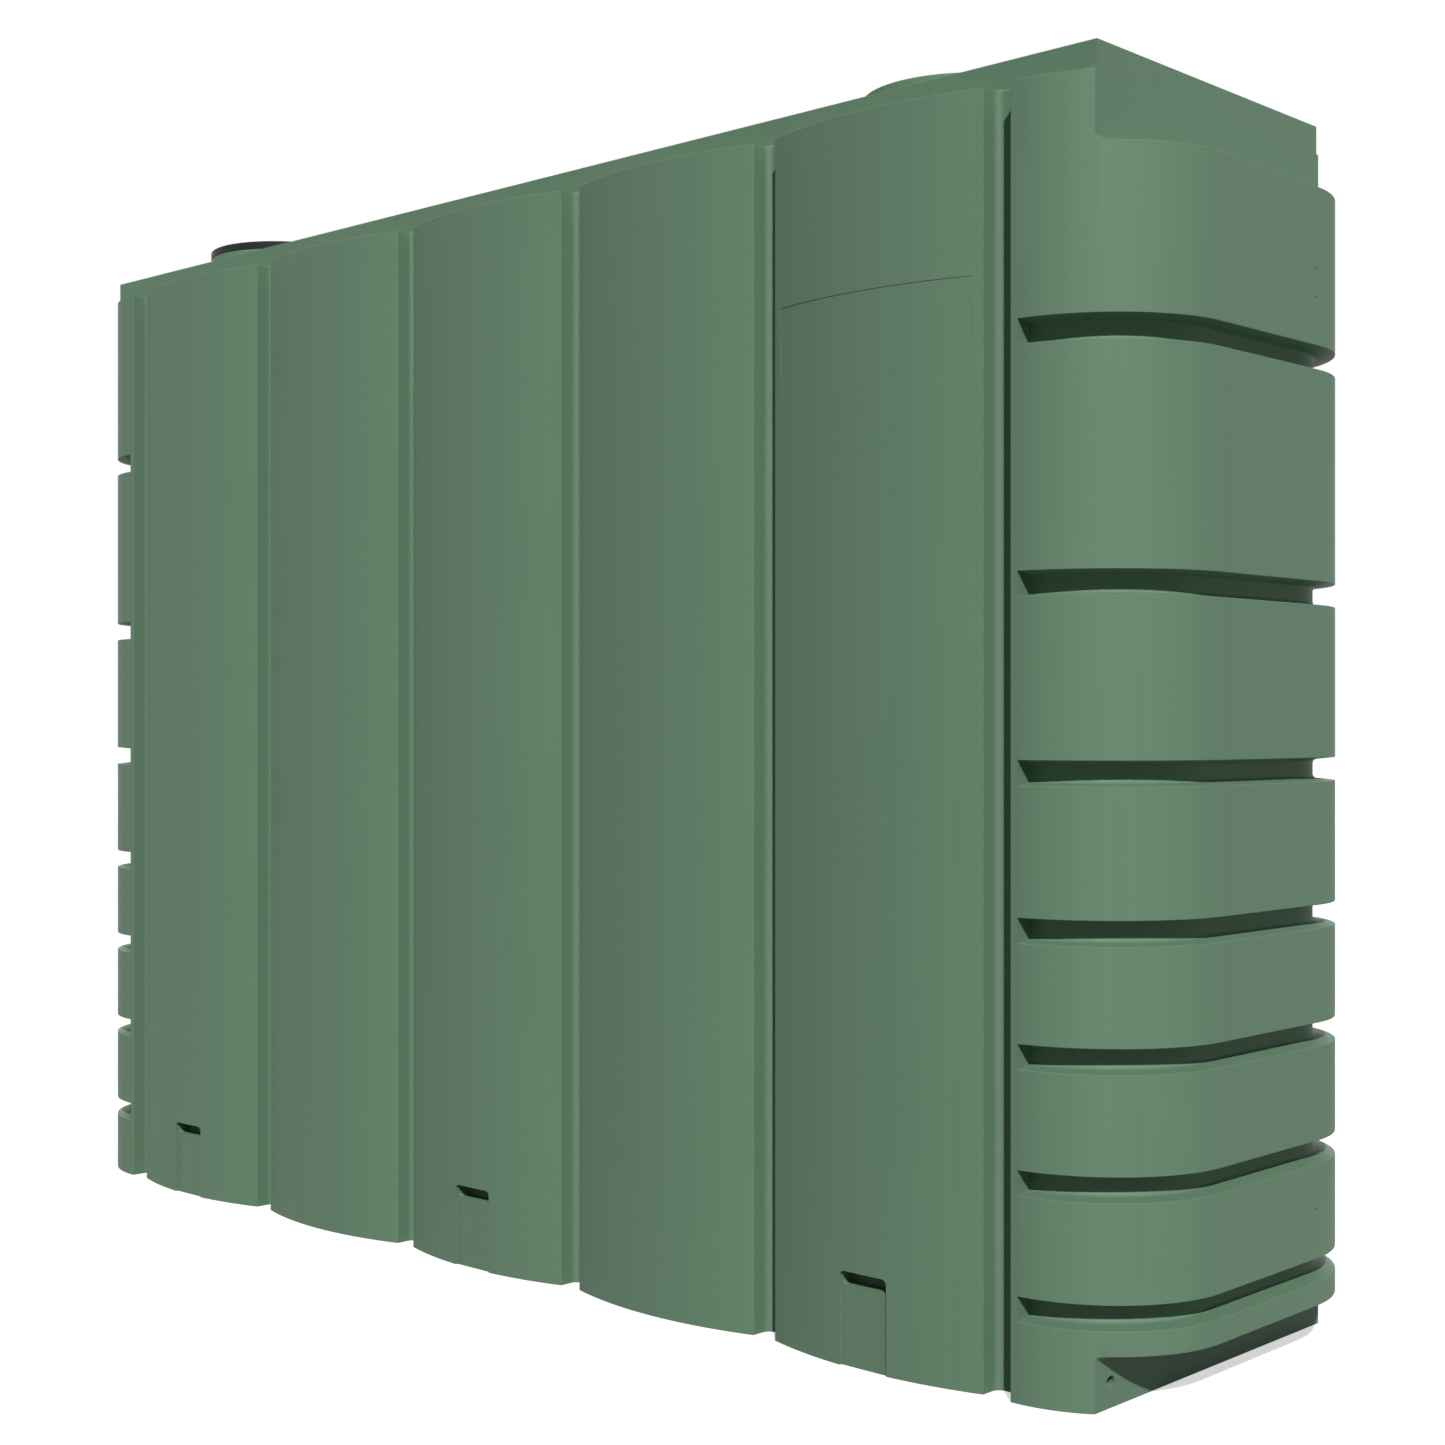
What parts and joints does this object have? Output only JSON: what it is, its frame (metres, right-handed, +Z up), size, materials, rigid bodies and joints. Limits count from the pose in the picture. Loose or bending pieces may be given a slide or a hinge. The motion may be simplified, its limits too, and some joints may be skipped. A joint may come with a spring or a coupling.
{
  "type": "slimline water tank",
  "caption": "Slim upright rainwater tank with bowed front panels, grooved round ends, a flat deck with a strainer neck and a lidded neck, tie-down pockets and drain sockets.",
  "frame": {"origin": "centre of the base, on the ground", "axes": "+Z up, X along the tank's length with the strainer neck towards -X, -Y out of the front"},
  "size_m": [3.036, 0.8572, 2.2418],
  "materials": {
    "moulded_polyethylene": "satin green, moulded in colour",
    "black_polypropylene": "satin black",
    "stainless_steel": "plain",
    "brass": "turned",
    "rubber": "matt black"
  },
  "bodies": {
    "root": {"tank_body": "moulded_polyethylene", "strainer_frame": "black_polypropylene", "strainer_mesh": "stainless_steel", "mesh_clamp_ring": "stainless_steel", "lid_seal": "rubber", "access_lid": "moulded_polyethylene", "wall_tie_insert_left_low": "brass", "wall_tie_insert_left_middle": "brass", "wall_tie_insert_left_high": "brass", "wall_tie_insert_right_low": "brass", "wall_tie_insert_right_middle": "brass", "wall_tie_insert_right_high": "brass", "lid_screw_1": "stainless_steel", "lid_screw_2": "stainless_steel", "lid_screw_3": "stainless_steel", "lid_screw_4": "stainless_steel", "lid_screw_5": "stainless_steel", "lid_screw_6": "stainless_steel"}
  },
  "joints": []
}
